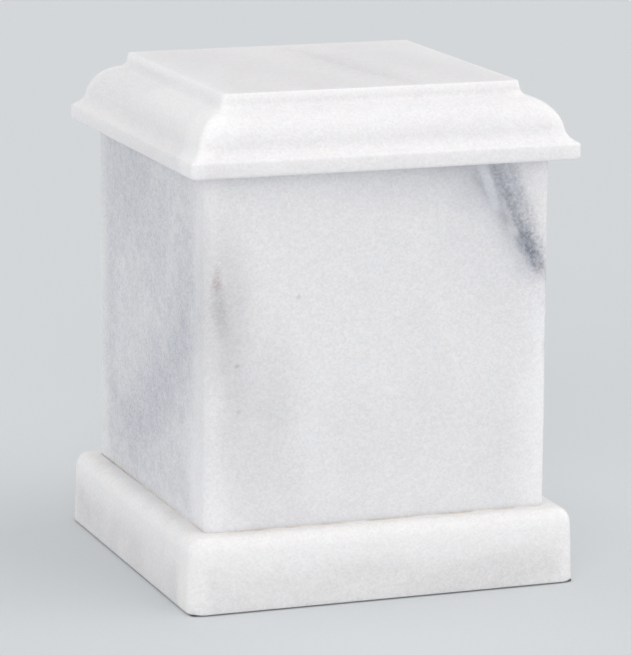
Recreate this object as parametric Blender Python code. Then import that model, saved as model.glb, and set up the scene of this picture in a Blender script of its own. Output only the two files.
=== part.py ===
"""Small square cremation urn in white marble.

Three stones stand on one another: a plinth slab with rounded-over edges, a
block bored right through, and a moulded lid that lifts off. The plinth closes
the bore below, and the lid closes it above.

Metres, +Z up, front towards -Y, origin at the middle of the underside.
"""

import math

import bmesh
import bpy

# Bed joint between one stone and the next
JOINT_GAP = 0.0003

# Block: the body of the urn, hollowed by a core drill
BLOCK_SIDE = 0.097
BLOCK_HEIGHT = 0.095
BLOCK_CORNER_RADIUS = 0.0030
BLOCK_EASED_EDGE = 0.0004
WALL_THICKNESS = 0.0125
BORE_EASED_EDGE = 0.0008

# Plinth: a slab with a soft roundover along its top edges
PLINTH_PROJECTION = 0.0065
PLINTH_HEIGHT = 0.020
PLINTH_TOP_CORNER_RADIUS = 0.0004
PLINTH_ROUNDOVER_RUN = 0.0036
PLINTH_ROUNDOVER_DROP = 0.0046
PLINTH_LEAN = 0.0005
PLINTH_EASED_EDGE = 0.0006

# Lid: a band, then a cove, an ovolo, a small cove and a fillet under a flat top
LID_PROJECTION = 0.0060
LID_HEIGHT = 0.020
LID_ARRIS_RADIUS = 0.0013
LID_BAND_HEIGHT = 0.0046
LID_BAND_EDGE_RADIUS = 0.0009
LID_COVE_RADIUS = 0.0050
LID_OVOLO_SETBACK = 0.0032
LID_OVOLO_RADIUS = 0.0100
LID_FILLET_HEIGHT = 0.0037
LID_FILLET_STEP = 0.0007
LID_FILLET_COVE_RADIUS = 0.0024
LID_FILLET_LEAN = 0.0003
LID_TOP_EDGE_RADIUS = 0.0004

# Locating boss under the lid, turned to drop into the bore
BOSS_CLEARANCE = 0.0010
BOSS_DEPTH = 0.0050
BOSS_EASED_EDGE = 0.0010

# Steps along each curve
CORNER_STEPS = 8
ARRIS_STEPS = 4
ROUNDOVER_STEPS = 8
OVOLO_STEPS = 14
COVE_STEPS = 7
SMALL_ARC_STEPS = 5
BORE_SIDES = 72
SHARP_ANGLE = math.radians(28)

# Cutters run past the stone by this much, and joined shapes overlap by it
OVERRUN = 0.002

# What follows from the sizes above
BLOCK_FLOOR = PLINTH_HEIGHT + JOINT_GAP
LID_FLOOR = BLOCK_FLOOR + BLOCK_HEIGHT + JOINT_GAP
PLINTH_SIDE = BLOCK_SIDE + 2 * PLINTH_PROJECTION
LID_SIDE = BLOCK_SIDE + 2 * LID_PROJECTION
BORE_RADIUS = BLOCK_SIDE / 2 - WALL_THICKNESS
BOSS_RADIUS = BORE_RADIUS - BOSS_CLEARANCE

MARBLE_ROUGHNESS = 0.35
LID_COLOUR = (0.87, 0.86, 0.84, 1.0)
BLOCK_COLOUR = (0.79, 0.80, 0.82, 1.0)
PLINTH_COLOUR = (0.86, 0.85, 0.83, 1.0)


def clear_scene():
    """Empties the file that the script runs from."""
    for thing in list(bpy.data.objects):
        bpy.data.objects.remove(thing, do_unlink=True)


def marble(name, colour):
    """A polished marble in one colour."""
    material = bpy.data.materials.new(name)
    material.use_nodes = True
    shader = material.node_tree.nodes["Principled BSDF"]
    shader.inputs["Base Color"].default_value = colour
    shader.inputs["Roughness"].default_value = MARBLE_ROUGHNESS
    shader.inputs["Metallic"].default_value = 0.0
    return material


def arc(centre, radius, start, end, steps, stretch=1.0):
    """Points from one angle to another, in degrees; stretch makes an ellipse of its height."""
    points = []
    for step in range(steps + 1):
        angle = math.radians(start + (end - start) * step / steps)
        across = centre[0] + radius * math.cos(angle)
        up = centre[1] + radius * stretch * math.sin(angle)
        points.append((across, up))
    return points


def rounded_square(half, radius, steps):
    """Anticlockwise outline of a square with rounded corners."""
    middle = half - radius
    outline = []
    for quarter, (x_sign, y_sign) in enumerate(((1, 1), (-1, 1), (-1, -1), (1, -1))):
        corner = (x_sign * middle, y_sign * middle)
        outline += arc(corner, radius, 90 * quarter, 90 * (quarter + 1), steps)
    return outline


def circle(radius):
    """Anticlockwise outline of a circle."""
    return arc((0, 0), radius, 0, 360, BORE_SIDES)[:-1]


def squares_up(section, narrowest_radius):
    """Rounded squares up a section, whose corners shrink as the stone narrows."""
    narrowest = min(reach for reach, _ in section)
    levels = []
    for reach, height in section:
        radius = narrowest_radius + reach - narrowest
        levels.append((rounded_square(reach, radius, CORNER_STEPS), height))
    return levels


def lofted_solid(name, levels):
    """A closed object through outlines one above the other, each with its height."""
    shape = bmesh.new()
    loops = []
    for outline, height in levels:
        ring = [shape.verts.new((x, y, height)) for x, y in outline]
        loops.append([shape.edges.new(ends) for ends in zip(ring, ring[1:] + ring[:1])])
    for lower, upper in zip(loops, loops[1:]):
        bmesh.ops.bridge_loops(shape, edges=lower + upper)
    for end in (loops[0], loops[-1]):
        bmesh.ops.edgeloop_fill(shape, edges=end)
    bmesh.ops.recalc_face_normals(shape, faces=shape.faces)
    mesh = bpy.data.meshes.new(name)
    shape.to_mesh(mesh)
    shape.free()
    mesh.shade_smooth()
    mesh.set_sharp_from_angle(angle=SHARP_ANGLE)
    solid = bpy.data.objects.new(name, mesh)
    bpy.context.scene.collection.objects.link(solid)
    return solid


def join_or_cut(stone, tool, operation):
    """Adds a Boolean to a stone and keeps its tool as a hidden guide."""
    modifier = stone.modifiers.new(tool.name, "BOOLEAN")
    modifier.object = tool
    modifier.operation = operation
    modifier.solver = "EXACT"
    tool.parent = stone
    tool.hide_render = True
    tool.display_type = "WIRE"


def build_plinth():
    """The slab below: an eased foot, faces that lean in a little, and a roundover."""
    half = PLINTH_SIDE / 2
    springing = (
        half - PLINTH_LEAN - PLINTH_ROUNDOVER_RUN,
        PLINTH_HEIGHT - PLINTH_ROUNDOVER_DROP,
    )
    stretch = PLINTH_ROUNDOVER_DROP / PLINTH_ROUNDOVER_RUN
    section = [(half - PLINTH_EASED_EDGE, 0), (half, PLINTH_EASED_EDGE)]
    section += arc(springing, PLINTH_ROUNDOVER_RUN, 0, 90, ROUNDOVER_STEPS, stretch)
    plinth = lofted_solid("plinth", squares_up(section, PLINTH_TOP_CORNER_RADIUS))
    plinth.data.materials.append(marble("plinth_marble", PLINTH_COLOUR))
    return plinth


def bore_cutter():
    """The core that is drilled out of the block, with both mouths eased."""
    mouth = BORE_RADIUS + BORE_EASED_EDGE
    section = [
        (mouth, -OVERRUN),
        (mouth, 0),
        (BORE_RADIUS, BORE_EASED_EDGE),
        (BORE_RADIUS, BLOCK_HEIGHT - BORE_EASED_EDGE),
        (mouth, BLOCK_HEIGHT),
        (mouth, BLOCK_HEIGHT + OVERRUN),
    ]
    return lofted_solid("bore_cutter", [(circle(radius), height) for radius, height in section])


def build_block():
    """The body: a square block with rounded uprights, bored from end to end."""
    half = BLOCK_SIDE / 2
    eased = half - BLOCK_EASED_EDGE
    section = [
        (eased, 0),
        (half, BLOCK_EASED_EDGE),
        (half, BLOCK_HEIGHT - BLOCK_EASED_EDGE),
        (eased, BLOCK_HEIGHT),
    ]
    block = lofted_solid("urn_block", squares_up(section, BLOCK_CORNER_RADIUS))
    block.data.materials.append(marble("block_marble", BLOCK_COLOUR))
    join_or_cut(block, bore_cutter(), "DIFFERENCE")
    block.location.z = BLOCK_FLOOR
    return block


def meeting_cove(upper, upper_radius, lower, lower_radius, radius):
    """Centre of the hollow arc that touches two rounds from outside."""
    across = lower[0] - upper[0]
    down = lower[1] - upper[1]
    spacing = math.hypot(across, down)
    to_upper = upper_radius + radius
    to_lower = lower_radius + radius
    along = (to_upper**2 - to_lower**2 + spacing**2) / (2 * spacing)
    aside = math.sqrt(to_upper**2 - along**2)
    return (
        upper[0] + (along * across - aside * down) / spacing,
        upper[1] + (along * down + aside * across) / spacing,
    )


def direction(start, end):
    """Angle in degrees of the line from one point to another."""
    return math.degrees(math.atan2(end[1] - start[1], end[0] - start[0]))


def lid_section():
    """The lid's moulding from its underside up, as distance from the middle and height."""
    half = LID_SIDE / 2
    edge = LID_BAND_EDGE_RADIUS
    band_foot = (half - edge, edge)
    band_head = (half - edge, LID_BAND_HEIGHT - edge)
    ovolo = (
        half - LID_OVOLO_SETBACK - LID_OVOLO_RADIUS,
        LID_HEIGHT - LID_FILLET_HEIGHT - LID_OVOLO_RADIUS,
    )
    cove = meeting_cove(ovolo, LID_OVOLO_RADIUS, band_head, edge, LID_COVE_RADIUS)
    from_band = direction(band_head, cove)
    from_ovolo = direction(ovolo, cove)

    # The small cove touches the ovolo from outside and ends upright in the fillet
    fillet = ovolo[0] + LID_FILLET_STEP
    small_run = LID_FILLET_STEP + LID_FILLET_COVE_RADIUS
    small_rise = math.sqrt((LID_OVOLO_RADIUS + LID_FILLET_COVE_RADIUS) ** 2 - small_run**2)
    small_cove = (ovolo[0] + small_run, ovolo[1] + small_rise)
    to_small_cove = direction(ovolo, small_cove)

    rim = LID_TOP_EDGE_RADIUS
    top_edge = (fillet - LID_FILLET_LEAN - rim, LID_HEIGHT - rim)
    section = arc(band_foot, edge, -90, 0, SMALL_ARC_STEPS)
    section += arc(band_head, edge, 0, from_band, SMALL_ARC_STEPS)
    section += arc(cove, LID_COVE_RADIUS, 180 + from_band, 180 + from_ovolo, COVE_STEPS)[1:]
    section += arc(ovolo, LID_OVOLO_RADIUS, from_ovolo, to_small_cove, OVOLO_STEPS)[1:]
    section += arc(
        small_cove, LID_FILLET_COVE_RADIUS, 180 + to_small_cove, 180, SMALL_ARC_STEPS
    )[1:]
    section += arc(top_edge, rim, 0, 90, SMALL_ARC_STEPS)
    return section


def locating_boss():
    """The round boss that keeps the lid centred on the bore."""
    section = [
        (BOSS_RADIUS - BOSS_EASED_EDGE, -BOSS_DEPTH),
        (BOSS_RADIUS, BOSS_EASED_EDGE - BOSS_DEPTH),
        (BOSS_RADIUS, OVERRUN),
    ]
    return lofted_solid("boss_guide", [(circle(radius), height) for radius, height in section])


def build_lid():
    """The lid: the moulding run round a square and mitred, with its boss below."""
    levels = [
        (rounded_square(reach, LID_ARRIS_RADIUS, ARRIS_STEPS), height)
        for reach, height in lid_section()
    ]
    lid = lofted_solid("lid", levels)
    lid.data.materials.append(marble("lid_marble", LID_COLOUR))
    join_or_cut(lid, locating_boss(), "UNION")
    lid.location.z = LID_FLOOR
    return lid


def main():
    """Builds the urn from the ground up."""
    clear_scene()
    build_plinth()
    build_block()
    build_lid()


main()
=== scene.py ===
"""Looks of a small square marble cremation urn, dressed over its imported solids.

Plinth, block and lid are modelled again as finely finished stones that keep the
solids' form, with the hand-polished waver, the crystals, the clouds and the veins
of a white marble. A thin bed of cement shows between plinth and block.

Metres, +Z up, front towards -Y, origin at the middle of the urn's underside.
"""

import logging
import math
from dataclasses import dataclass, field
from enum import Enum
from functools import cache

import bmesh
import bpy
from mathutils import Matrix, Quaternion, Vector, noise


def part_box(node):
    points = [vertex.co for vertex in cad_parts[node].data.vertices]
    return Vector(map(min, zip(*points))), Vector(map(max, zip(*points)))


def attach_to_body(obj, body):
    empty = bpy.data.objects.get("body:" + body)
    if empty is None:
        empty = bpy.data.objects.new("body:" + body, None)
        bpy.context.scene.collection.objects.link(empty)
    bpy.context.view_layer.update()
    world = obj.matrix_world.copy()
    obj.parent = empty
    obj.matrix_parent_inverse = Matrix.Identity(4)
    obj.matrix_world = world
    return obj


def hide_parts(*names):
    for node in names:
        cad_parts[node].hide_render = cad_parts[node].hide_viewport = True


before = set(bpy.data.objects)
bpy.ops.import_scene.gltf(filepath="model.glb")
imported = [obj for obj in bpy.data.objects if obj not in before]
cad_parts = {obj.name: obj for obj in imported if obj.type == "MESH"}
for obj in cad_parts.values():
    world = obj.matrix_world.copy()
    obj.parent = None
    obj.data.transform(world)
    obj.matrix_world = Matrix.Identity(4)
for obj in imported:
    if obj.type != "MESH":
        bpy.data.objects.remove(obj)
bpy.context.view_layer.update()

BODY = "root"
MM = 0.001
HOLD = 0.3 * MM

Pair = tuple[float, float]
Triple = tuple[float, float, float]
Box = tuple[Vector, Vector]
Socket = bpy.types.NodeSocket

log = logging.getLogger("urn")


def srgb(red: float, green: float, blue: float) -> Triple:
    """Turns a colour on the usual 0 to 255 scale into linear light, 0 to 1."""
    shares = (channel / 255 for channel in (red, green, blue))
    return tuple(
        share / 12.92 if share <= 0.04045 else ((share + 0.055) / 1.055) ** 2.4 for share in shares
    )


class Polish(Enum):
    """How finely a surface was worked; the value is its roughness."""

    SATIN = 0.42
    MATT = 0.90


def arc(
    centre: Pair, radius: float, start: float, end: float, steps: int, stretch: float = 1.0
) -> list[Pair]:
    """Points along an arc.

    Args:
        centre: The arc's centre.
        radius: Its radius across.
        start: First angle in degrees.
        end: Last angle in degrees.
        steps: Number of steps between them.
        stretch: Height over width, for part of an ellipse.

    Returns:
        The points, both ends included.
    """
    points = []
    for step in range(steps + 1):
        angle = math.radians(start + (end - start) * step / steps)
        across = centre[0] + radius * math.cos(angle)
        up = centre[1] + radius * stretch * math.sin(angle)
        points.append((across, up))
    return points


def steps_between(low: float, high: float, count: int, hold: float = HOLD) -> list[float]:
    """Even steps that start and end a short hold inside two values, which keeps flat stone flat."""
    return [low + hold + (high - low - 2 * hold) * step / count for step in range(count + 1)]


def direction(start: Pair, end: Pair) -> float:
    """Angle in degrees of the line from one point to another."""
    return math.degrees(math.atan2(end[1] - start[1], end[0] - start[0]))


def meeting_cove(upper: Pair, upper_radius: float, lower: Pair, lower_radius: float, radius: float) -> Pair:
    """Centre of the hollow arc that touches two rounds from outside.

    Args:
        upper: Centre of the upper round.
        upper_radius: Its radius.
        lower: Centre of the lower round.
        lower_radius: Its radius.
        radius: Radius of the hollow.

    Returns:
        The hollow's centre.
    """
    across = lower[0] - upper[0]
    down = lower[1] - upper[1]
    spacing = math.hypot(across, down)
    to_upper = upper_radius + radius
    to_lower = lower_radius + radius
    along = (to_upper**2 - to_lower**2 + spacing**2) / (2 * spacing)
    aside = math.sqrt(to_upper**2 - along**2)
    return (
        upper[0] + (along * across - aside * down) / spacing,
        upper[1] + (along * down + aside * across) / spacing,
    )


def put(name: str, data: bpy.types.ID) -> bpy.types.Object:
    """Makes an object and links it to the scene.

    Args:
        name: The object's name.
        data: Its mesh, light or camera.

    Returns:
        The object.
    """
    made = bpy.data.objects.new(name, data)
    bpy.context.scene.collection.objects.link(made)
    return made


@dataclass(frozen=True)
class Waver:
    """The slight unevenness that hand polishing leaves; it only ever takes stone away."""

    depth: float = 0.10 * MM
    size: float = 14 * MM
    fine_depth: float = 0.03 * MM
    fine_size: float = 3.5 * MM
    seed: float = 0.0

    def at(self, point: Vector) -> float:
        """How much stone is missing at a point.

        Args:
            point: The point, in metres.

        Returns:
            The depth, in metres, never below nought.
        """
        shift = Vector((self.seed, self.seed, self.seed))
        broad = 0.5 + 0.5 * noise.noise(point / self.size + shift)
        fine = 0.5 + 0.5 * noise.noise(point / self.fine_size - shift)
        return self.depth * broad + self.fine_depth * fine


@dataclass
class Skin:
    """A closed surface through rings of points that all run round the upright axis."""

    name: str
    waver: Waver
    side_steps: int = 40
    corner_steps: int = 8
    spoke_corner: float = 0.03
    sharp_angle: float = 40.0
    rings: list[list[Vector]] = field(default_factory=list)

    def square(self, half: float, radius: float, height: float) -> list[Vector]:
        """One ring round a square with rounded corners.

        Args:
            half: Half of the square's side.
            radius: Radius of its corners.
            height: The ring's height.

        Returns:
            The ring's points, anticlockwise from above.
        """
        middle = half - radius
        ring = []
        for quarter in range(4):
            turn = Quaternion((0, 0, 1), math.radians(90 * quarter))
            corner = arc((middle, middle), radius, 0, 90, self.corner_steps)
            side = [(x, half) for x in steps_between(middle, -middle, self.side_steps, -HOLD)]
            ring += [turn @ Vector((x, y, height)) for x, y in corner + side]
        return ring

    def add_square(self, half: float, radius: float, height: float) -> None:
        """Adds a square ring, worn by the waver.

        Args:
            half: Half of the square's side.
            radius: Radius of its corners.
            height: The ring's height.
        """
        ring = []
        for point in self.square(half, radius, height):
            share = 1 - self.waver.at(point) / half
            ring.append(Vector((point.x * share, point.y * share, point.z)))
        self.rings.append(ring)

    def add_round(self, radius: float, height: float) -> None:
        """Adds a round ring with its points on the same spokes as the square ones.

        Args:
            radius: The ring's radius.
            height: The ring's height.
        """
        ring = []
        for spoke in self.square(1.0, self.spoke_corner, 0.0):
            outward = Vector((spoke.x, spoke.y, 0)).normalized()
            ring.append(outward * radius + Vector((0, 0, height)))
        self.rings.append(ring)

    def add_between(self, count: int, hold: float = 0.4 * MM) -> None:
        """Adds rings on the flat between the last two rings, close to each and evenly inside.

        Args:
            count: Number of even steps.
            hold: Distance of the first and the last new ring from their neighbours.
        """
        last = self.rings.pop()
        first = self.rings[-1]
        width = max((a - b).length for a, b in zip(first, last))
        for share in steps_between(0.0, 1.0, count, hold / width):
            self.rings.append([a.lerp(b, share) for a, b in zip(first, last)])
        self.rings.append(last)

    def close(self, endless: bool) -> bpy.types.Object:
        """Makes the object.

        Args:
            endless: Whether the last ring joins the first, as on a bored stone.

        Returns:
            The smooth-shaded object, linked to the scene.
        """
        shape = bmesh.new()
        loops = [[shape.verts.new(point) for point in ring] for ring in self.rings]
        pairs = list(zip(loops, loops[1:]))
        if endless:
            pairs.append((loops[-1], loops[0]))
        else:
            shape.faces.new(list(reversed(loops[0])))
            shape.faces.new(loops[-1])
        for lower, upper in pairs:
            for index, corner in enumerate(lower):
                following = (index + 1) % len(lower)
                shape.faces.new((corner, lower[following], upper[following], upper[index]))
        bmesh.ops.recalc_face_normals(shape, faces=shape.faces)
        mesh = bpy.data.meshes.new(self.name)
        shape.to_mesh(mesh)
        shape.free()
        mesh.shade_smooth()
        mesh.set_sharp_from_angle(angle=math.radians(self.sharp_angle))
        return put(self.name, mesh)


class Graph:
    """Wires one node tree, left to right."""

    def __init__(self, tree: bpy.types.NodeTree) -> None:
        """Starts on the tree to wire."""
        self.tree = tree
        self.placed = 0

    def node(self, kind: str, **settings: object) -> bpy.types.Node:
        """Adds a node.

        Args:
            kind: The node's type name.
            **settings: Its properties.

        Returns:
            The node.
        """
        made = self.tree.nodes.new(kind)
        made.location = (180 * (self.placed % 12), -220 * (self.placed // 12))
        self.placed += 1
        for name, value in settings.items():
            setattr(made, name, value)
        return made

    def feed(self, socket: Socket, value: object) -> None:
        """Links a socket, or sets its value.

        Args:
            socket: The input.
            value: Another socket, a number, a vector or a colour.
        """
        if isinstance(value, bpy.types.NodeSocket):
            self.tree.links.new(value, socket)
        elif socket.type == "RGBA" and len(value) == 3:
            socket.default_value = (*value, 1.0)
        else:
            socket.default_value = value

    def fill(self, made: bpy.types.Node, **values: object) -> bpy.types.Node:
        """Feeds a node's inputs by name.

        Args:
            made: The node.
            **values: Its inputs, with underscores for spaces.

        Returns:
            The node.
        """
        for name, value in values.items():
            self.feed(made.inputs[name.replace("_", " ")], value)
        return made

    def math(self, operation: str, *values: object) -> Socket:
        """A sum on numbers.

        Args:
            operation: The Math node's operation.
            *values: Its inputs, in order.

        Returns:
            The result.
        """
        made = self.node("ShaderNodeMath", operation=operation)
        for socket, value in zip(made.inputs, values):
            self.feed(socket, value)
        return made.outputs["Value"]

    def vector(self, operation: str, *values: object) -> Socket:
        """A sum on vectors.

        Args:
            operation: The Vector Math node's operation.
            *values: Its inputs, in order.

        Returns:
            The vector, or the number that a length or a dot product gives.
        """
        made = self.node("ShaderNodeVectorMath", operation=operation)
        for socket, value in zip(made.inputs, values):
            self.feed(socket, value)
        return made.outputs["Value" if operation in ("LENGTH", "DOT_PRODUCT") else "Vector"]

    def scaled(self, place: Socket, share: object) -> Socket:
        """A vector times a number.

        Args:
            place: The vector.
            share: The number.

        Returns:
            The product.
        """
        made = self.node("ShaderNodeVectorMath", operation="SCALE")
        self.feed(made.inputs[0], place)
        self.feed(made.inputs["Scale"], share)
        return made.outputs["Vector"]

    def noise(self, place: Socket, scale: object, detail: float = 2.0, rough: float = 0.5) -> Socket:
        """A cloudy noise.

        Args:
            place: Where to read it.
            scale: Lumps to the metre.
            detail: Number of finer octaves.
            rough: How strong the finer ones are.

        Returns:
            A value about a half.
        """
        made = self.node("ShaderNodeTexNoise", noise_dimensions="3D")
        self.fill(made, Vector=place, Scale=scale, Detail=detail, Roughness=rough)
        return made.outputs["Fac"]

    def fade(
        self, value: Socket, start: object, end: object, low: object = 0.0, high: object = 1.0
    ) -> Socket:
        """A smooth change from one value to another.

        Args:
            value: What is read.
            start: Where the change starts.
            end: Where it ends.
            low: The result up to the start.
            high: The result past the end.

        Returns:
            The changed value.
        """
        made = self.node("ShaderNodeMapRange", interpolation_type="SMOOTHSTEP")
        self.fill(made, Value=value, From_Min=start, From_Max=end, To_Min=low, To_Max=high)
        return made.outputs["Result"]

    def blend(self, mask: object, under: object, over: object, mode: str = "MIX") -> Socket:
        """One colour over another.

        Args:
            mask: How much of the upper one shows.
            under: The lower colour.
            over: The upper colour.
            mode: How they mix.

        Returns:
            The mixed colour.
        """
        made = self.node("ShaderNodeMix", data_type="RGBA", blend_type=mode, clamp_result=False)
        self.feed(made.inputs[0], mask)
        self.feed(made.inputs[6], under)
        self.feed(made.inputs[7], over)
        return made.outputs[2]

    def bump(self, height: Socket, distance: float, strength: float = 1.0) -> Socket:
        """A fine relief for the shader's normal.

        Args:
            height: The relief.
            distance: Its depth, in metres.
            strength: How much of it shows.

        Returns:
            The bent normal.
        """
        made = self.node("ShaderNodeBump")
        self.fill(made, Strength=strength, Distance=distance, Height=height)
        return made.outputs["Normal"]

    def place(self, group: bpy.types.NodeTree, **values: object) -> bpy.types.Node:
        """Places a node group with its own values.

        Args:
            group: The group.
            **values: Its inputs, with underscores for spaces.

        Returns:
            The group's node.
        """
        made = self.node("ShaderNodeGroup")
        made.node_tree = group
        return self.fill(made, **values)


@dataclass(frozen=True)
class Effect:
    """A shader node group that is built once and placed with other values in each material."""

    name: str
    vectors: tuple[str, ...]
    numbers: dict[str, float]
    outputs: tuple[str, ...]

    def open(self) -> tuple[bpy.types.NodeTree, Graph, dict[str, Socket], bpy.types.NodeInputs]:
        """Makes the empty group.

        Returns:
            The group, its graph, its inputs by name and the sockets of its output node.
        """
        group = bpy.data.node_groups.new(self.name, "ShaderNodeTree")
        for name in self.vectors:
            group.interface.new_socket(name, in_out="INPUT", socket_type="NodeSocketVector")
        for name, value in self.numbers.items():
            socket = group.interface.new_socket(name, in_out="INPUT", socket_type="NodeSocketFloat")
            socket.default_value = value
        for name in self.outputs:
            group.interface.new_socket(name, in_out="OUTPUT", socket_type="NodeSocketFloat")
        graph = Graph(group)
        given = graph.node("NodeGroupInput")
        result = graph.node("NodeGroupOutput")
        return group, graph, {socket.name: socket for socket in given.outputs}, result.inputs


@cache
def crystal_grain() -> bpy.types.NodeTree:
    """Builds the sparkle of the stone's crystals.

    Returns:
        A group that gives a shade about one, and a height for bump.
    """
    group, graph, given, result = Effect(
        "crystal_grain",
        ("Place",),
        {"Crystals": 1900.0, "Contrast": 0.1, "Figure": 0.0, "Gain": 0.3},
        ("Shade", "Height"),
    ).open()
    place = given["Place"]
    crystal = graph.node("ShaderNodeTexVoronoi", voronoi_dimensions="3D", feature="F1")
    graph.fill(crystal, Vector=place, Scale=given["Crystals"])
    tone = graph.node("ShaderNodeSeparateColor")
    graph.feed(tone.inputs["Color"], crystal.outputs["Color"])
    powder = graph.noise(place, graph.math("MULTIPLY", given["Crystals"], 0.6), 2.0, 0.6)
    each = graph.math("SUBTRACT", tone.outputs["Red"], 0.5)
    dust = graph.math("MULTIPLY", graph.math("SUBTRACT", powder, 0.5), 1.3)
    total = graph.math("ADD", each, dust)
    contrast = graph.math("MULTIPLY_ADD", given["Figure"], given["Gain"], given["Contrast"])
    graph.feed(result["Shade"], graph.math("MULTIPLY_ADD", total, contrast, 1.0))
    graph.feed(result["Height"], graph.math("ADD", graph.math("MULTIPLY", each, 0.4), powder))
    return group


@cache
def mineral_sheet() -> bpy.types.NodeTree:
    """Builds a vein: a bent, wandering sheet of mineral between a start and an end.

    Returns:
        A group that gives the vein's mask.
    """
    group, graph, given, result = Effect(
        "mineral_sheet",
        ("Place", "Start", "Run", "Facing", "Inward"),
        {
            "Start Width": 0.001, "End Width": 0.001, "Soft": 0.003, "Bow": 0.0, "Wander": 0.003,
            "Lumps": 90.0, "Fray": 0.15, "Depth": 0.03, "Break Up": 0.4, "Specks": 1000.0,
        },
        ("Mask",),
    ).open()
    place = given["Place"]
    away = graph.vector("SUBTRACT", place, given["Start"])
    along = graph.vector("DOT_PRODUCT", away, given["Run"])
    flat = graph.vector("DOT_PRODUCT", away, given["Facing"])
    deep = graph.vector("DOT_PRODUCT", away, given["Inward"])
    arch = graph.math("MULTIPLY", graph.math("MULTIPLY", along, graph.math("SUBTRACT", 1.0, along)), 4.0)
    drift = graph.math("SUBTRACT", graph.noise(place, given["Lumps"], 2.0, 0.6), 0.5)
    bent = graph.math("SUBTRACT", flat, graph.math("MULTIPLY", arch, given["Bow"]))
    bent = graph.math("ABSOLUTE", graph.math("MULTIPLY_ADD", drift, given["Wander"], bent))
    growth = graph.math("SUBTRACT", given["End Width"], given["Start Width"])
    width = graph.math("MULTIPLY_ADD", along, growth, given["Start Width"])
    band = graph.fade(bent, width, graph.math("ADD", width, given["Soft"]), 1.0, 0.0)
    before = graph.math("MULTIPLY", given["Fray"], -1.0)
    opened = graph.fade(along, before, given["Fray"])
    closed = graph.fade(graph.math("SUBTRACT", along, 1.0), before, given["Fray"], 1.0, 0.0)
    inner = graph.math("MULTIPLY", given["Depth"], 0.4)
    within = graph.fade(graph.math("ABSOLUTE", deep), inner, given["Depth"], 1.0, 0.0)
    torn = graph.noise(place, given["Specks"], 2.0, 0.7)
    hole = graph.math("MULTIPLY", graph.fade(torn, 0.62, 0.38), given["Break Up"])
    ends = graph.math("MULTIPLY", graph.math("MULTIPLY", opened, closed), within)
    kept = graph.math("MULTIPLY", ends, graph.math("SUBTRACT", 1.0, hole))
    graph.feed(result["Mask"], graph.math("MULTIPLY", band, kept))
    return group


@cache
def mineral_cloud() -> bpy.types.NodeTree:
    """Builds a soft cloud, long along one direction and ragged at its edge.

    Returns:
        A group that gives the cloud's mask.
    """
    group, graph, given, result = Effect(
        "mineral_cloud",
        ("Place", "Middle", "Along"),
        {"Length": 0.03, "Girth": 0.01, "Ragged": 0.6, "Lumps": 70.0},
        ("Mask",),
    ).open()
    place = given["Place"]
    away = graph.vector("SUBTRACT", place, given["Middle"])
    along = graph.vector("DOT_PRODUCT", away, given["Along"])
    line = graph.scaled(given["Along"], along)
    aside = graph.vector("LENGTH", graph.vector("SUBTRACT", away, line))
    long_share = graph.math("ABSOLUTE", graph.math("DIVIDE", along, given["Length"]))
    wide_share = graph.math("DIVIDE", aside, given["Girth"])
    squares = [graph.math("POWER", share, 2.0) for share in (long_share, wide_share)]
    radius = graph.math("SQRT", graph.math("ADD", *squares))
    lump = graph.math("SUBTRACT", graph.noise(place, given["Lumps"], 3.0, 0.6), 0.5)
    torn = graph.math("MULTIPLY_ADD", lump, given["Ragged"], radius)
    graph.feed(result["Mask"], graph.fade(torn, 0.1, 1.0, 1.0, 0.0))
    return group


@cache
def clouding() -> bpy.types.NodeTree:
    """Builds the clouding that runs through a whole stone, drawn out along one direction.

    Returns:
        A group that gives the clouding's mask.
    """
    group, graph, given, result = Effect(
        "clouding",
        ("Place", "Along"),
        {"Lumps": 40.0, "Draw Out": 0.7, "Low": 0.45, "High": 0.65},
        ("Mask",),
    ).open()
    place = given["Place"]
    length = graph.vector("DOT_PRODUCT", place, given["Along"])
    line = graph.scaled(given["Along"], graph.math("MULTIPLY", length, given["Draw Out"]))
    drawn = graph.vector("SUBTRACT", place, line)
    lump = graph.noise(drawn, given["Lumps"], 4.0, 0.55)
    graph.feed(result["Mask"], graph.fade(lump, given["Low"], given["High"]))
    return group


@cache
def hand_polish() -> bpy.types.NodeTree:
    """Builds the faint smears of a hand-rubbed polish.

    Returns:
        A group that gives the roughness.
    """
    group, graph, given, result = Effect(
        "hand_polish",
        ("Place",),
        {"Polish": 0.4, "Spread": 0.05, "Smears": 160.0},
        ("Roughness",),
    ).open()
    place = given["Place"]
    smear = graph.noise(place, given["Smears"], 4.0, 0.6)
    smooth = graph.math("SUBTRACT", given["Polish"], given["Spread"])
    coarse = graph.math("ADD", given["Polish"], given["Spread"])
    graph.feed(result["Roughness"], graph.fade(smear, 0.3, 0.7, smooth, coarse))
    return group


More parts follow.
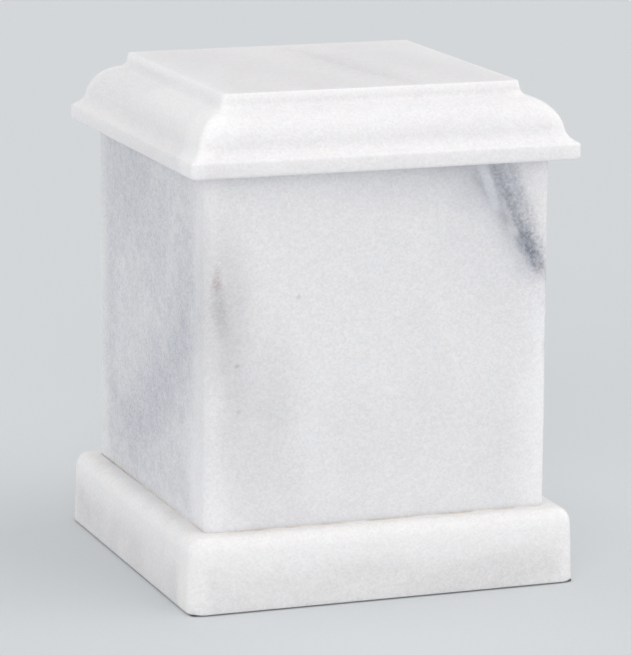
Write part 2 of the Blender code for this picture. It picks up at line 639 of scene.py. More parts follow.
@cache
def arris_light() -> bpy.types.NodeTree:
    """Builds painted light: a paler rim painted into the colour along the arrises, where light passes
    through thin stone.

    Returns:
        A group that gives one mask for the four corners and one for a level edge.
    """
    group, graph, given, result = Effect(
        "arris_light",
        ("Place",),
        {
            "Corner Width": 0.003, "Corner Fade": 0.004, "Inner Side": 0.04,
            "Edge Side": 0.05, "Edge Height": 0.1, "Edge Width": 0.002,
        },
        ("Corners", "Edge"),
    ).open()
    part = graph.node("ShaderNodeSeparateXYZ")
    graph.feed(part.inputs["Vector"], given["Place"])
    across = graph.math("ABSOLUTE", part.outputs["X"])
    deep = graph.math("ABSOLUTE", part.outputs["Y"])
    aside = graph.math("ABSOLUTE", graph.math("SUBTRACT", across, deep))
    far = graph.math("ADD", given["Corner Width"], given["Corner Fade"])
    reach = graph.math("MAXIMUM", across, deep)
    outside = graph.fade(graph.math("SUBTRACT", reach, given["Inner Side"]), 0.0, 0.002)
    corners = graph.fade(aside, given["Corner Width"], far, 1.0, 0.0)
    graph.feed(result["Corners"], graph.math("MULTIPLY", corners, outside))
    out = graph.math("SUBTRACT", reach, given["Edge Side"])
    up = graph.math("SUBTRACT", part.outputs["Z"], given["Edge Height"])
    apart = graph.math("ADD", graph.math("ABSOLUTE", out), graph.math("ABSOLUTE", up))
    graph.feed(result["Edge"], graph.fade(apart, 0.0, given["Edge Width"], 1.0, 0.0))
    return group


@dataclass(frozen=True)
class Rim:
    """Painted light in a stone's corners and in one level edge, laid into its colour; metres."""

    tint: Triple
    corner_strength: float
    corner_width: float
    corner_fade: float
    inner_side: float
    edge_strength: float
    edge_side: float
    edge_height: float
    edge_width: float


@dataclass(frozen=True)
class Mark:
    """A tint in the stone. Where it is grainy, the crystals show more.

    Points are in metres and other lengths in millimetres; lumps and specks are counted
    to the metre.
    """

    tint: Triple
    strength: float

    def placed(self, graph: Graph) -> bpy.types.Node:
        """Places the node group of this kind of mark."""
        raise NotImplementedError

    def mask(self, graph: Graph, place: Socket) -> Socket:
        """Wires the mark's mask.

        Args:
            graph: The material's graph.
            place: Where on the stone.

        Returns:
            How much of the mark shows.
        """
        group = self.placed(graph)
        graph.feed(group.inputs["Place"], place)
        return graph.math("MULTIPLY", group.outputs["Mask"], self.strength)


@dataclass(frozen=True)
class Sheet(Mark):
    """One vein: a sheet of mineral through the stone from a start to an end."""

    start: Vector
    end: Vector
    start_width: float
    end_width: float
    soft: float
    inward: Triple = (0.15, 1.0, 0.1)
    bow: float = 0.0
    wander: float = 2.0
    lumps: float = 90.0
    fray: float = 0.12
    depth: float = 40.0
    break_up: float = 0.3
    specks: float = 1000.0
    grainy: bool = True

    def placed(self, graph: Graph) -> bpy.types.Node:
        """Places the vein's node group.

        Args:
            graph: The material's graph.

        Returns:
            The group's node.
        """
        run = self.end - self.start
        inward = Vector(self.inward).normalized()
        return graph.place(
            mineral_sheet(),
            Start=self.start,
            Run=run / run.length_squared,
            Facing=run.cross(inward).normalized(),
            Inward=inward,
            Start_Width=self.start_width * MM,
            End_Width=self.end_width * MM,
            Soft=self.soft * MM,
            Bow=self.bow * MM,
            Wander=self.wander * MM,
            Lumps=self.lumps,
            Fray=self.fray,
            Depth=self.depth * MM,
            Break_Up=self.break_up,
            Specks=self.specks,
        )


@dataclass(frozen=True)
class Cloud(Mark):
    """One soft cloud in the stone."""

    middle: Vector
    along: Triple
    length: float
    girth: float
    ragged: float = 0.7
    lumps: float = 70.0
    grainy: bool = True

    def placed(self, graph: Graph) -> bpy.types.Node:
        """Places the cloud's node group."""
        return graph.place(
            mineral_cloud(),
            Middle=self.middle,
            Along=Vector(self.along).normalized(),
            Length=self.length * MM,
            Girth=self.girth * MM,
            Ragged=self.ragged,
            Lumps=self.lumps,
        )


@dataclass(frozen=True)
class Wash(Cloud):
    """A cloud that leaves the crystals fine, and hides the grain of what it covers."""

    grainy: bool = False


@dataclass(frozen=True)
class Clouding(Mark):
    """Clouding through a whole stone."""

    along: Triple
    lumps: float
    draw_out: float = 0.7
    low: float = 0.45
    high: float = 0.70
    grainy: bool = False

    def placed(self, graph: Graph) -> bpy.types.Node:
        """Places the clouding's node group."""
        return graph.place(
            clouding(),
            Along=Vector(self.along).normalized(),
            Lumps=self.lumps,
            Draw_Out=self.draw_out,
            Low=self.low,
            High=self.high,
        )


def begin(name: str) -> tuple[bpy.types.Material, Graph, bpy.types.Node, Socket]:
    """Starts a material.

    Args:
        name: The material's name.

    Returns:
        The material, its graph, its shader and the place on the piece.
    """
    material = bpy.data.materials.new(name)
    material.use_nodes = True
    graph = Graph(material.node_tree)
    shader = material.node_tree.nodes["Principled BSDF"]
    return material, graph, shader, graph.node("ShaderNodeTexCoord").outputs["Object"]


@dataclass(frozen=True)
class Marble:
    """A crystalline marble with its clouds, veins and painted light in its edges."""

    name: str
    ground: Triple
    contrast: float
    rim: Rim
    gain: float = 0.30
    polish: Polish = Polish.SATIN
    figure: tuple[Mark, ...] = ()
    glow: float = 0.45
    glow_depth: float = 3.5 * MM
    glow_colours: Triple = (1.0, 0.86, 0.74)
    relief: float = 0.012 * MM
    relief_strength: float = 0.6
    refraction: float = 1.49

    def build(self) -> bpy.types.Material:
        """Makes the material.

        Returns:
            The material.
        """
        material, graph, shader, place = begin(self.name)
        colour: object = self.ground
        dark = None
        for mark in self.figure:
            mask = mark.mask(graph, place)
            colour = graph.blend(mask, colour, mark.tint)
            if mark.grainy:
                dark = mask if dark is None else graph.math("ADD", dark, mask)
            elif dark is not None:
                dark = graph.math("MULTIPLY", dark, graph.math("SUBTRACT", 1.0, mask))
        # Painted light: the corners and one level edge are blended towards a paler tint.
        rim = graph.place(
            arris_light(),
            Place=place,
            Corner_Width=self.rim.corner_width,
            Corner_Fade=self.rim.corner_fade,
            Inner_Side=self.rim.inner_side,
            Edge_Side=self.rim.edge_side,
            Edge_Height=self.rim.edge_height,
            Edge_Width=self.rim.edge_width,
        )
        corners = graph.math("MULTIPLY", rim.outputs["Corners"], self.rim.corner_strength)
        edge = graph.math("MULTIPLY", rim.outputs["Edge"], self.rim.edge_strength)
        colour = graph.blend(graph.math("MAXIMUM", corners, edge), colour, self.rim.tint)
        grain = graph.place(
            crystal_grain(), Place=place, Contrast=self.contrast, Figure=dark, Gain=self.gain
        )
        colour = graph.blend(1.0, colour, grain.outputs["Shade"], "MULTIPLY")
        polish = graph.place(hand_polish(), Place=place, Polish=self.polish.value)
        relief = graph.bump(grain.outputs["Height"], self.relief, self.relief_strength)
        shader.subsurface_method = "RANDOM_WALK"
        graph.fill(
            shader,
            Base_Color=colour,
            Roughness=polish.outputs["Roughness"],
            Normal=relief,
            Subsurface_Weight=self.glow,
            Subsurface_Scale=self.glow_depth,
            Subsurface_Radius=self.glow_colours,
            IOR=self.refraction,
        )
        return material


@dataclass(frozen=True)
class Cement:
    """The brownish setting cement in the bed joint."""

    name: str = "bed_cement"
    pale: Triple = srgb(246, 241, 235)
    dark: Triple = srgb(220, 208, 197)
    blotches: float = 160.0
    stain: Cloud = Cloud(
        srgb(112, 96, 84), 0.42, Vector((-48.5 * MM, 34 * MM, 20 * MM)), (0, 1, 0), 42, 8, 0.9, 160.0
    )
    sand: float = 2200.0
    sand_relief: float = 0.05 * MM
    smoothest: float = 0.8
    polish: Polish = Polish.MATT

    def build(self) -> bpy.types.Material:
        """Makes the material.

        Returns:
            The material.
        """
        material, graph, shader, place = begin(self.name)
        blotch = graph.fade(graph.noise(place, self.blotches, 4.0, 0.6), 0.35, 0.65)
        colour = graph.blend(blotch, self.pale, self.dark)
        colour = graph.blend(self.stain.mask(graph, place), colour, self.stain.tint)
        sand = graph.noise(place, self.sand, 2.0, 0.6)
        rough = graph.fade(sand, 0.2, 0.8, self.smoothest, self.polish.value)
        relief = graph.bump(sand, self.sand_relief)
        graph.fill(shader, Base_Color=colour, Roughness=rough, Normal=relief)
        return material


@dataclass(frozen=True)
class Backdrop:
    """The studio's pale paper, which isn't part of the urn."""

    name: str = "pale_paper"
    tint: Triple = srgb(218, 221, 223)
    mottling: float = 900.0
    shade: float = 0.98
    roughness: float = 0.85
    sheen: float = 0.2

    def build(self) -> bpy.types.Material:
        """Makes the material.

        Returns:
            The material.
        """
        material, graph, shader, place = begin(self.name)
        mottle = graph.fade(graph.noise(place, self.mottling, 2.0, 0.6), 0.3, 0.7)
        darker = tuple(channel * self.shade for channel in self.tint)
        colour = graph.blend(mottle, self.tint, darker)
        graph.fill(shader, Base_Color=colour, Roughness=self.roughness, Specular_IOR_Level=self.sheen)
        return material


def attach(piece: bpy.types.Object, material: bpy.types.Material, node: str = "") -> None:
    """Dresses a piece and ties it to the frame.

    Args:
        piece: The finished piece.
        material: Its finish.
        node: The solid that it stands for, if there is one.
    """
    piece.data.materials.append(material)
    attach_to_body(piece, BODY)
    if node:
        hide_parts(node)
    log.info("%s: %d faces", piece.name, len(piece.data.polygons))


@dataclass
class Plinth:
    """The slab that carries the urn, with a soft roundover along its top edges."""

    box: Box = field(default_factory=lambda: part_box("plinth"))
    top_corner_radius: float = 0.4 * MM
    roundover_run: float = 3.6 * MM
    roundover_drop: float = 4.6 * MM
    lean: float = 0.5 * MM
    eased_edge: float = 0.25 * MM
    foot_corner_radius: float = 1 * MM
    flat_rings: Pair = (0.5 * MM, 30 * MM)
    waver: Waver = Waver(seed=3.0)

    def section(self) -> list[Pair]:
        """The slab's outline from its underside up.

        Returns:
            Distances from the middle, with their heights.
        """
        half = self.box[1].x
        top = self.box[1].z
        shoulder = half - self.lean - self.roundover_run
        spring = top - self.roundover_drop
        rise = self.roundover_drop / self.roundover_run
        section = arc((half - self.eased_edge, self.eased_edge), self.eased_edge, -90, 0, 5)
        for height in steps_between(self.eased_edge, spring, 10):
            share = (height - self.eased_edge) / (spring - self.eased_edge)
            section.append((half - self.lean * share, height))
        return section + arc((shoulder, spring), self.roundover_run, 0, 90, 18, rise)

    def build(self, finish: bpy.types.Material) -> None:
        """Models and dresses the plinth.

        Args:
            finish: Its marble.
        """
        skin = Skin("plinth_stone", self.waver)
        section = self.section()
        narrowest = min(reach for reach, _ in section)
        first, last = section[0], section[-1]
        for inset in reversed(self.flat_rings):
            skin.add_square(first[0] - inset, self.foot_corner_radius, first[1])
        for reach, height in section:
            skin.add_square(reach, self.top_corner_radius + reach - narrowest, height)
        for inset in self.flat_rings:
            skin.add_square(last[0] - inset, self.top_corner_radius, last[1])
        attach(skin.close(endless=False), finish, "plinth")


@dataclass
class UrnBlock:
    """The body of the urn: a square block with rounded uprights, bored through."""

    box: Box = field(default_factory=lambda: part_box("urn_block"))
    wall: float = 12.5 * MM
    corner_radius: float = 3.4 * MM
    eased_edge: float = 0.15 * MM
    bore_eased_edge: float = 0.8 * MM
    edge_steps: int = 5
    face_steps: int = 48
    end_steps: int = 6
    bore_steps: int = 24
    waver: Waver = Waver(seed=11.0)

    def build(self, finish: bpy.types.Material) -> None:
        """Models and dresses the block.

        Args:
            finish: Its marble.
        """
        skin = Skin("block_stone", self.waver)
        half, floor, head = self.box[1].x, self.box[0].z, self.box[1].z
        bore = half - self.wall
        mouth = bore + self.bore_eased_edge
        eased = self.eased_edge
        foot_edge = arc((half - eased, floor + eased), eased, -90, 0, self.edge_steps)
        heights = steps_between(floor + eased, head - eased, self.face_steps)
        face = [(half, height) for height in heights]
        head_edge = arc((half - eased, head - eased), eased, 0, 90, self.edge_steps)
        for reach, height in foot_edge + face + head_edge:
            skin.add_square(reach, self.corner_radius + reach - half, height)
        skin.add_round(mouth, head)
        skin.add_between(self.end_steps)
        skin.add_round(bore, head - self.bore_eased_edge)
        skin.add_round(bore, floor + self.bore_eased_edge)
        skin.add_between(self.bore_steps)
        skin.add_round(mouth, floor)
        skin.rings.append(skin.rings[0])
        skin.add_between(self.end_steps)
        skin.rings.pop()
        attach(skin.close(endless=True), finish, "urn_block")


@dataclass
class Lid:
    """The moulded lid: band, cove, ovolo, small cove and fillet, and a boss below."""

    box: Box = field(default_factory=lambda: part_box("lid"))
    boss_depth: float = 5.0 * MM
    boss_radius: float = 35.0 * MM
    boss_eased_edge: float = 1.0 * MM
    arris_radius: float = 1.3 * MM
    band_height: float = 4.6 * MM
    band_edge: float = 0.9 * MM
    cove_radius: float = 5.0 * MM
    ovolo_setback: float = 3.2 * MM
    ovolo_radius: float = 10.0 * MM
    fillet_height: float = 3.7 * MM
    fillet_step: float = 0.7 * MM
    fillet_cove: float = 2.4 * MM
    fillet_lean: float = 0.3 * MM
    top_edge: float = 0.4 * MM
    seat_ring: float = 0.3 * MM
    seat_steps: int = 5
    top_rings: Pair = (0.5 * MM, 12 * MM)
    waver: Waver = Waver(seed=23.0)

    def section(self) -> list[Pair]:
        """The moulding from the underside up.

        Returns:
            Distances from the middle, with their heights.
        """
        half, top = self.box[1].x, self.box[1].z
        seat = self.box[0].z + self.boss_depth
        edge = self.band_edge
        foot = (half - edge, seat + edge)
        head = (half - edge, seat + self.band_height - edge)
        ovolo_reach = half - self.ovolo_setback - self.ovolo_radius
        ovolo = (ovolo_reach, top - self.fillet_height - self.ovolo_radius)
        cove = meeting_cove(ovolo, self.ovolo_radius, head, edge, self.cove_radius)
        from_band = direction(head, cove)
        from_ovolo = direction(ovolo, cove)
        run = self.fillet_step + self.fillet_cove
        rise = math.sqrt((self.ovolo_radius + self.fillet_cove) ** 2 - run**2)
        small = (ovolo[0] + run, ovolo[1] + rise)
        to_small = direction(ovolo, small)
        fillet = ovolo[0] + self.fillet_step
        rim = (fillet - self.fillet_lean - self.top_edge, top - self.top_edge)
        section = arc(foot, edge, -90, 0, 7)
        section += arc(head, edge, 0, from_band, 6)
        section += arc(cove, self.cove_radius, 180 + from_band, 180 + from_ovolo, 12)[1:]
        section += arc(ovolo, self.ovolo_radius, from_ovolo, to_small, 26)[1:]
        section += arc(small, self.fillet_cove, 180 + to_small, 180, 10)[1:]
        return section + arc(rim, self.top_edge, 0, 90, 5)

    def build(self, finish: bpy.types.Material) -> None:
        """Models and dresses the lid.

        Args:
            finish: Its marble.
        """
        skin = Skin("lid_stone", self.waver)
        section = self.section()
        low = self.box[0].z
        seat = low + self.boss_depth
        skin.add_round(self.boss_radius / 2, low)
        skin.add_round(self.boss_radius - 2 * self.boss_eased_edge, low)
        skin.add_round(self.boss_radius - self.boss_eased_edge, low)
        skin.add_round(self.boss_radius, low + self.boss_eased_edge)
        skin.add_round(self.boss_radius, seat)
        skin.add_square(section[0][0] - self.seat_ring, self.arris_radius, section[0][1])
        skin.add_between(self.seat_steps)
        for reach, height in section:
            skin.add_square(reach, self.arris_radius, height)
        reach, height = section[-1]
        for inset in self.top_rings:
            skin.add_square(reach - inset, self.arris_radius, height)
        attach(skin.close(endless=False), finish, "lid")


@dataclass
class BedJoint:
    """The thin bed of cement that holds the block to its plinth, set back from the faces."""

    plinth: Box = field(default_factory=lambda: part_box("plinth"))
    block: Box = field(default_factory=lambda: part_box("urn_block"))
    set_back: float = 0.02 * MM
    corner_radius: float = 3 * MM
    inner_radius: float = 37.0 * MM
    waver: Waver = Waver(depth=0.12 * MM, size=6 * MM, seed=31.0)

    def build(self, finish: bpy.types.Material) -> None:
        """Models and dresses the joint.

        Args:
            finish: Its cement.
        """
        skin = Skin("bed_joint", self.waver)
        half = self.block[1].x - self.set_back
        low, high = self.plinth[1].z, self.block[0].z
        for height in (low, high):
            skin.add_square(half, self.corner_radius, height)
        for height in (high, low):
            skin.add_round(self.inner_radius, height)
        attach(skin.close(endless=True), finish)


@dataclass(frozen=True)
class SoftLight:
    """One far, wide and soft light; degrees as for a camera."""

    name: str
    azimuth: float
    elevation: float
    strength: float
    tint: Triple = (1.0, 1.0, 1.0)
    spread: float = 50.0

    def build(self) -> None:
        """Places the light."""
        lamp = bpy.data.lights.new(self.name, "SUN")
        lamp.energy = self.strength
        lamp.angle = math.radians(self.spread)
        lamp.color = self.tint
        stand = put(self.name, lamp)
        back = outward(self.azimuth, self.elevation)
        stand.location = back
        stand.rotation_mode = "QUATERNION"
        stand.rotation_quaternion = (-back).to_track_quat("-Z", "Y")


def outward(azimuth: float, elevation: float) -> Vector:
    """Unit vector away from the urn; degrees, and no azimuth is towards the front."""
    turn, rise = math.radians(azimuth), math.radians(elevation)
    return Vector(
        (math.sin(turn) * math.cos(rise), -math.cos(turn) * math.cos(rise), math.sin(rise))
    )


@dataclass(frozen=True)
class Studio:
    """A pale floor, soft lights and the camera."""

    azimuth: float = -20.055
    elevation: float = 11.931
    roll: float = 0.339
    distance: float = 1.1025
    lens: float = 219.79
    sensor: float = 36.0
    aim: Triple = (-0.0006, 0.0, 0.06285)
    sight: Pair = (0.05, 60.0)
    floor_size: float = 16.0
    floor_gap: float = 0.38 * MM
    sky_tint: Triple = (0.985, 0.995, 1.0)
    sky_strength: float = 0.50
    lights: tuple[SoftLight, ...] = (
        SoftLight("front_left_light", -30, 15, 0.92, (1.0, 0.99, 0.99)),
        SoftLight("key_light", 50, 45, 0.43, (1.0, 0.985, 0.985)),
        SoftLight("right_light", 90, 15, 0.61, (1.0, 0.99, 0.99)),
        SoftLight("back_left_light", -120, 15, 0.38, (0.98, 0.985, 1.0)),
        SoftLight("top_light", 0, 88, 0.62),
    )

    def build(self) -> None:
        """Sets up everything around the urn."""
        self.lay_floor()
        self.light()
        self.set_camera()

    def lay_floor(self) -> None:
        """Lays the floor, a hair lower than the foot, which shows its shadow gap."""
        shape = bmesh.new()
        bmesh.ops.create_grid(shape, x_segments=1, y_segments=1, size=self.floor_size / 2)
        mesh = bpy.data.meshes.new("floor")
        shape.to_mesh(mesh)
        shape.free()
        floor = put("floor", mesh)
        floor.location.z = -self.floor_gap
        mesh.materials.append(Backdrop().build())

    def light(self) -> None:
        """Places the soft lights and the pale surround."""
        for light in self.lights:
            light.build()
        world = bpy.data.worlds.new("surround")
        world.use_nodes = True
        sky = world.node_tree.nodes["Background"]
        sky.inputs["Color"].default_value = (*self.sky_tint, 1.0)
        sky.inputs["Strength"].default_value = self.sky_strength
        bpy.context.scene.world = world
        bpy.context.scene.view_settings.view_transform = "Standard"

    def set_camera(self) -> None:
        """Sets the camera at the photograph's angle."""
        eye = bpy.data.cameras.new("camera")
        eye.sensor_width = self.sensor
        eye.lens = self.lens
        eye.clip_start, eye.clip_end = self.sight
        camera = put("camera", eye)
        back = outward(self.azimuth, self.elevation)
        camera.location = Vector(self.aim) + back * self.distance
        camera.rotation_mode = "QUATERNION"
        level = (-back).to_track_quat("-Z", "Y")
        camera.rotation_quaternion = level @ Quaternion((0, 0, 1), math.radians(self.roll))
        bpy.context.scene.camera = camera


@dataclass(frozen=True)
class Sides:
    """Finds places on a stone's faces; all distances are in millimetres."""

    low: Vector
    high: Vector

    def front(self, across: float, down: float) -> Vector:
        """A place on the front, from its left edge and its top."""
        return Vector((self.low.x + across * MM, self.low.y, self.high.z - down * MM))

    def left(self, across: float, down: float) -> Vector:
        """A place on the left side, from its rear edge and its top."""
        return Vector((self.low.x, self.high.y - across * MM, self.high.z - down * MM))

    def right(self, across: float, down: float) -> Vector:
        """A place on the right side, from its front edge and its top."""
        return Vector((self.high.x, self.low.y + across * MM, self.high.z - down * MM))

    def back(self, across: float, down: float) -> Vector:
        """A place on the back, from its left edge, as seen from behind, and its top."""
        return Vector((self.high.x - across * MM, self.high.y, self.high.z - down * MM))

    def top(self, right: float, back: float, down: float = 0.0) -> Vector:
        """A place to the right of and behind the middle of the top, or below it."""
        return Vector((right * MM, back * MM, self.high.z - down * MM))


def block_marble(box: Box) -> Marble:
    """The block's marble: cool white, with a blue-grey side and dark corner veins, painted shade under the
    lid and painted light on the front's right edge.

    Args:
        box: The block's lowest and highest corner.

    Returns:
        The marble.
    """
    on = Sides(*box)
    slate = srgb(140, 148, 168)
    navy = srgb(80, 90, 112)
    teal = srgb(92, 108, 118)
    streak = srgb(230, 232, 236)
    rust = srgb(150, 112, 100)
    bark = srgb(128, 112, 112)
    haze_and_painted_shade = srgb(178, 181, 192)
    grey = srgb(186, 185, 188)
    white = srgb(248, 247, 250)
    umber = srgb(118, 108, 106)
    snow = srgb(253, 252, 254)
    dip = (0.0, 0.75, -0.66)
    plunge = (0.4, 0.0, -0.92)
    left_skin = Sheet(slate, 0.23, on.left(9, 48), on.left(87, 48), 1, 1, 4, (0, 0, 1),
                      wander=1, fray=0.05, depth=150, break_up=0.5, specks=360.0)
    left_clouds = (
        Cloud(slate, 0.20, on.left(27, 13), (0, 1, -0.1), 46, 26),
        Cloud(slate, 0.27, on.left(58, 63), (0, 0.77, -0.64), 62, 22, 1.0, 110.0),
        Cloud(slate, 0.13, on.left(77, 31), (0, 0.2, -1), 26, 14),
        Cloud(slate, 0.12, on.left(55, 28), (0, 0.3, -1), 26, 17, 1.0, 110.0),
        Cloud(slate, 0.14, on.left(12, 42), (0, 0.1, -1), 26, 12),
        Cloud(slate, 0.20, on.left(27, 79), (0, 1, -0.15), 24, 14, 1.2),
        Wash(white, 0.95, on.left(90, 86), (0, 0.2, 1), 32, 13),
        Wash(white, 0.45, on.left(80, 97), (0, 1, 0), 38, 9),
    )
    front_fleck_and_painted_light = (
        # Painted light: a paler band down the front's right edge.
        Wash(snow, 0.80, on.front(98, 68), (0, 0, 1), 62, 15),
        Wash(grey, 0.20, on.front(13, 72), (0.2, 0, -1), 40, 20),
        Wash(grey, 0.14, on.front(42, 98), (1, 0, 0.02), 66, 14, 0.9),
        Wash(grey, 0.15, on.front(19, 54), (0.2, 0, -1), 24, 11),
        # Painted shade: the top of the front is darkened where the lid overhangs it.
        Wash(haze_and_painted_shade, 0.22, on.front(61, 2), (1, 0, 0), 38, 13),
        Wash(haze_and_painted_shade, 0.08, on.front(20, 2), (1, 0, 0), 40, 9),
        Wash(grey, 0.36, on.front(5, 38), (0.1, 0, -1), 36, 13),
        Cloud(umber, 0.20, on.front(3.6, 35), (0.12, 0, -1), 12, 3.0),
        Cloud(rust, 0.27, on.front(2.9, 27.5), (0.0, 0, -1), 5, 2.0, 0.9, 300.0),
        Cloud(umber, 0.16, on.front(25.6, 33.1), (0, 0, 1), 1.0, 1.0, 0.2, 900.0),
        Cloud(umber, 0.20, on.front(8.5, 50.4), (0, 0, 1), 1.1, 1.1, 0.2, 900.0),
        Cloud(umber, 0.20, on.front(8.8, 62.8), (0, 0, 1), 1.0, 1.0, 0.2, 900.0),
    )
    corner_vein = (
        Wash(haze_and_painted_shade, 0.12, on.front(81, 22), (0.46, 0, -0.89), 36, 24),
        Wash(haze_and_painted_shade, 0.28, on.front(75, 3), (0.8, 0, -0.6), 22, 12),
        Wash(haze_and_painted_shade, 0.34, on.front(85.5, 18), (0.46, 0, -0.89), 24, 9),
        Cloud(slate, 0.22, on.front(86.6, 8), (0.46, 0, -0.89), 10, 3.6),
        Cloud(slate, 0.14, on.front(89.8, 29), (0.46, 0, -0.89), 7, 3.6),
        Sheet(navy, 0.24, on.front(74.6, 3), on.front(84.2, 18), 0.3, 0.2, 2.2, dip, 0.9),
        Sheet(teal, 0.09, on.front(79, 8), on.front(89, 24), 0.6, 0.8, 3.2, dip, grainy=False),
        Sheet(navy, 0.28, on.front(81.4, -3), on.front(94.6, 29), 1.0, 0.6, 4.0, dip,
              break_up=0.6),
        Sheet(navy, 0.32, on.front(78.4, 0), on.front(93.4, 29), 0.7, 0.5, 1.2, dip, 0.6,
              wander=1.0),
        Sheet(navy, 0.40, on.front(88.2, 19.5), on.front(95.0, 30.5), 0.8, 0.5, 2.6, dip),
        Cloud(bark, 0.16, on.front(95.4, 31), (0.4, 0, -0.9), 5, 2.0),
        Sheet(streak, 0.62, on.front(76.3, -1), on.front(81.1, 13), 0.8, 0.5, 1.2, dip,
              wander=0.5, break_up=0.1, grainy=False),
        Wash(haze_and_painted_shade, 0.40, on.right(22, 58), (0, 0.55, -0.84), 48, 14, 1.0),
        Sheet(navy, 0.30, on.right(-2, 30), on.right(48, 97), 1.0, 0.4, 4.5, plunge, 3,
              wander=9, lumps=60.0, fray=0.3, depth=150, break_up=0.6),
        Sheet(navy, 0.30, on.right(-1, 31), on.right(34, 74), 0.3, 0.2, 1.3, plunge, 3,
              wander=9, lumps=60.0, fray=0.2, depth=150),
    )
    far_sides = (
        Cloud(slate, 0.16, on.right(72, 30), (0, 0.5, -0.86), 40, 18, 1.0),
        Wash(haze_and_painted_shade, 0.30, on.right(62, 84), (0, 1, -0.2), 36, 14, 1.0),
        Sheet(slate, 0.20, on.right(56, 2), on.right(88, 70), 0.3, 0.4, 3.4, (1, 0.3, 0.2), 2,
              wander=10, lumps=60.0, fray=0.3, depth=25, break_up=0.6),
        Cloud(slate, 0.24, on.back(76, 50), (-0.6, 0, -0.8), 58, 24, 1.0),
        Cloud(slate, 0.16, on.back(34, 22), (-1, 0, -0.3), 36, 16, 1.0),
        Sheet(navy, 0.24, on.back(30, 4), on.back(62, 60), 0.3, 0.8, 3.0, (0.2, 1, 0.3), -2,
              wander=6, depth=25, break_up=0.6),
        Sheet(navy, 0.18, on.back(56, 44), on.back(80, 96), 0.6, 0.3, 3.6, (0.2, 1, 0.3), 2,
              wander=6, depth=25, break_up=0.6),
    )
    return Marble(
        name="veined_block_marble",
        ground=srgb(240, 239, 240),
        contrast=0.095,
        # Painted light: the rounded uprights are a little paler; the level edge is off.
        rim=Rim(
            srgb(250, 249, 251), 0.12, 2.0 * MM, 4.0 * MM, 30 * MM, 0.0, box[1].x, box[1].z, 1 * MM
        ),
        figure=(
            Clouding(haze_and_painted_shade, 0.08, (0.3, 0.6, -0.7), 30.0),
            left_skin,
            *left_clouds,
            *front_fleck_and_painted_light,
            *corner_vein,
            *far_sides,
        ),
    )


def plinth_marble(box: Box) -> Marble:
    """The plinth's marble: white, faintly clouded, darker towards the floor with painted shade and some
    soiling.

    Args:
        box: The plinth's lowest and highest corner.

    Returns:
        The marble.
    """
    low, high = box
    soil_and_floor_shade = srgb(196, 194, 192)
    ash = srgb(200, 200, 205)
    painted_edge_light = srgb(254, 252, 246)
    return Marble(
        name="plain_plinth_marble",
        ground=srgb(241, 239, 239),
        contrast=0.09,
        # Painted light: paler corners and a paler band along the top roundover.
        rim=Rim(
            srgb(254, 252, 252), 0.5, 2.0 * MM, 6.0 * MM, 40 * MM,
            0.7, high.x - 1 * MM, high.z - 4.5 * MM, 9 * MM,
        ),
        figure=(
            Clouding(srgb(222, 220, 221), 0.3, (1, 0.2, 0), 90.0, 0.5, 0.42, 0.62),
            # Painted shade with some soiling: the plinth darkens towards the floor, on its front and left
            # side.
            Sheet(soil_and_floor_shade, 0.16, Vector((0, -90 * MM, 0)), Vector((0, 90 * MM, 0)), 0.5, 0.5, 13, (1, 0, 0),
                  depth=300, break_up=0.25, specks=500.0, grainy=False),
            Cloud(soil_and_floor_shade, 0.06, Vector((28 * MM, low.y, 3 * MM)), (1, 0, 0), 40, 8, 1.2, 200.0),
            # Painted light: a paler band over the front roundover.
            Wash(painted_edge_light, 0.35, Vector((0, low.y + 5 * MM, high.z)), (1, 0, 0), 110, 5),
            Cloud(soil_and_floor_shade, 0.14, Vector((low.x, 42 * MM, 8 * MM)), (0, 1, 0), 34, 9),
            # Painted light: a paler upright at the front-left corner.
            Wash(painted_edge_light, 0.95, Vector((low.x, low.y + 7 * MM, 12 * MM)), (0, 0, 1), 26, 8, 0.3),
            Cloud(ash, 0.30, Vector((high.x, 12 * MM, 11 * MM)), (0, 1, 0.15), 34, 7, 1.0),
            Cloud(ash, 0.30, Vector((-14 * MM, high.y, 9 * MM)), (1, 0, 0.2), 30, 8, 1.0),
        ),
    )


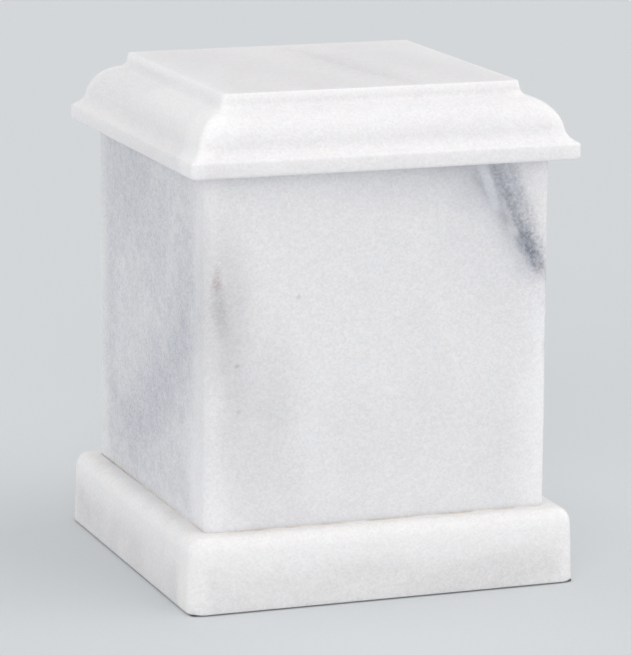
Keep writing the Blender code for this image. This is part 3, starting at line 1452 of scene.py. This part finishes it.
def lid_marble(box: Box) -> Marble:
    """The lid's marble: the whitest of the three, with a faint grey streak on top and painted light at its
    front-left mitre.

    Args:
        box: The lid's lowest and highest corner.

    Returns:
        The marble.
    """
    on = Sides(*box)
    high = box[1]
    snow = srgb(253, 252, 253)
    light = srgb(255, 254, 254)
    ash = srgb(206, 205, 209)
    smoke = srgb(200, 196, 200)
    return Marble(
        name="white_lid_marble",
        ground=srgb(243, 241, 242),
        contrast=0.08,
        # Painted light: paler corners and a painted highlight along the top plate's edge.
        rim=Rim(
            srgb(254, 252, 252), 0.4, 1.5 * MM, 5.0 * MM, 41 * MM,
            0.8, 41.6 * MM, high.z - 0.6 * MM, 2.4 * MM,
        ),
        figure=(
            Clouding(srgb(226, 224, 226), 0.35, (0.3, 0.9, 0.1), 32.0),
            Sheet(smoke, 0.14, on.top(13, -40), on.top(3, 40), 0.4, 0.2, 3.0, (0, 0, 1),
                  wander=4, fray=0.3, depth=9, break_up=0.1),
            Cloud(smoke, 0.20, on.top(8, -2), (-0.14, 1, 0), 46, 13),
            Wash(smoke, 0.12, on.top(-15, -4), (-0.14, 1, 0), 60, 18),
            Wash(smoke, 0.12, on.top(27, 0), (-0.14, 1, 0), 60, 13),
            Wash(snow, 0.30, on.top(-44, 0), (0, 1, 0), 70, 13),
            Wash(snow, 0.20, on.top(40, 12), (0, 1, 0), 50, 12),
            # Painted light: a paler left slope of the ovolo, towards the front-left mitre.
            Wash(snow, 0.7, on.top(-46, -34, 6), (0, 1, 0), 62, 12),
            Cloud(ash, 0.10, on.top(-48, 32, 6), (0, 1, 0), 40, 11),
            # Painted highlight along the front-left mitre.
            Wash(light, 1.0, on.top(-50, -45, 11), (0.5, 0.5, 0.72), 24, 8, 0.3),
            Cloud(ash, 0.25, Vector((high.x, 10 * MM, high.z - 12 * MM)), (0, 1, 0.2), 36, 9, 1.0),
            Cloud(ash, 0.25, Vector((12 * MM, high.y, high.z - 12 * MM)), (1, 0, -0.2), 32, 9, 1.0),
        ),
    )


def main() -> None:
    """Builds the urn from the ground up, then the studio."""
    logging.basicConfig(level=logging.INFO, format="%(message)s")
    plinth, block, lid = Plinth(), UrnBlock(), Lid()
    plinth.build(plinth_marble(plinth.box).build())
    block.build(block_marble(block.box).build())
    BedJoint().build(Cement().build())
    lid.build(lid_marble(lid.box).build())
    Studio().build()


if __name__ == "__main__":
    main()
